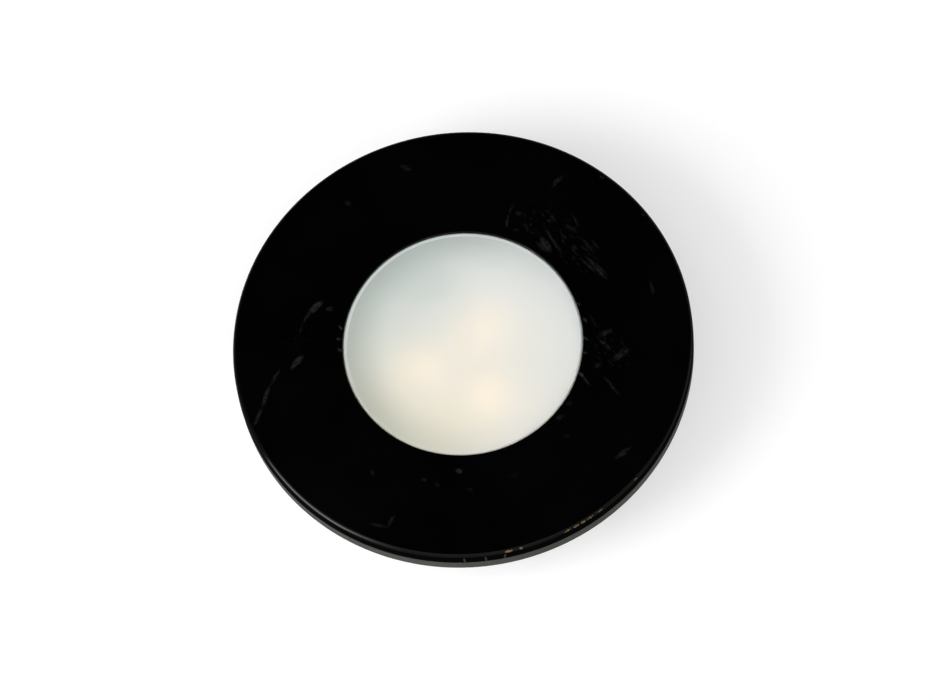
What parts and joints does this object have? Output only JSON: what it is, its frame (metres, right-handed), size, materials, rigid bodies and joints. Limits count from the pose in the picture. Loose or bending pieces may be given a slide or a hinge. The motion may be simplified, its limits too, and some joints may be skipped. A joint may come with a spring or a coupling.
{
  "type": "puck light",
  "caption": "Round recessed puck light: black trim ring with a flush frosted lens, shallow metal body with leaf clips and a rear side cable gland.",
  "frame": {"origin": "centre of the rear face of the housing", "axes": "+Z out through the lens, +Y towards the cable gland, +X completes the frame and passes through one of the rear screws"},
  "size_m": [0.07, 0.07, 0.014],
  "materials": {
    "black_trim": "gloss black finish on die-cast metal, with scuffs on its face and brassy chips along the front edge",
    "frosted_lens": "frosted diffusing acrylic, faintly green-grey when unlit",
    "black_rubber": "matt moulded rubber",
    "grey_seal": "soft closed-cell rubber, cut from sheet",
    "white_plastic": "white moulded plastic",
    "white_board": "white solder mask on a metal-core board",
    "grey_pad": "soft thermal pad",
    "cast_aluminium": "die-cast, lightly tumbled",
    "emitter": "yellow phosphor under a clear dome on a white base",
    "spring_steel": "stainless spring strip",
    "rivet_metal": "bright aluminium",
    "plated_screw": "zinc-plated steel",
    "black_package": "moulded package with tinned leads",
    "ceramic_chip": "ceramic chip with tinned ends",
    "resistor_chip": "thick-film chip with tinned ends"
  },
  "bodies": {
    "root": {"bezel": "black_trim", "panel_seal": "grey_seal", "lens": "frosted_lens", "lens_gasket": "black_rubber", "reflector": "white_plastic", "led_board": "white_board", "thermal_pad": "grey_pad", "housing": "cast_aluminium", "cable_grommet": "black_rubber", "led_1": "emitter", "led_2": "emitter", "led_3": "emitter", "spring_clip_1": "spring_steel", "spring_clip_2": "spring_steel", "spring_clip_3": "spring_steel", "clip_rivet_1": "rivet_metal", "clip_rivet_2": "rivet_metal", "clip_rivet_3": "rivet_metal", "bezel_screw_1": "plated_screw", "bezel_screw_2": "plated_screw", "bezel_screw_3": "plated_screw", "board_screw_1": "plated_screw", "board_screw_2": "plated_screw", "wire_terminal": "white_plastic", "bridge_rectifier": "black_package", "input_capacitor": "ceramic_chip", "current_regulator": "black_package", "sense_resistor_1": "resistor_chip", "sense_resistor_2": "resistor_chip"}
  },
  "joints": []
}
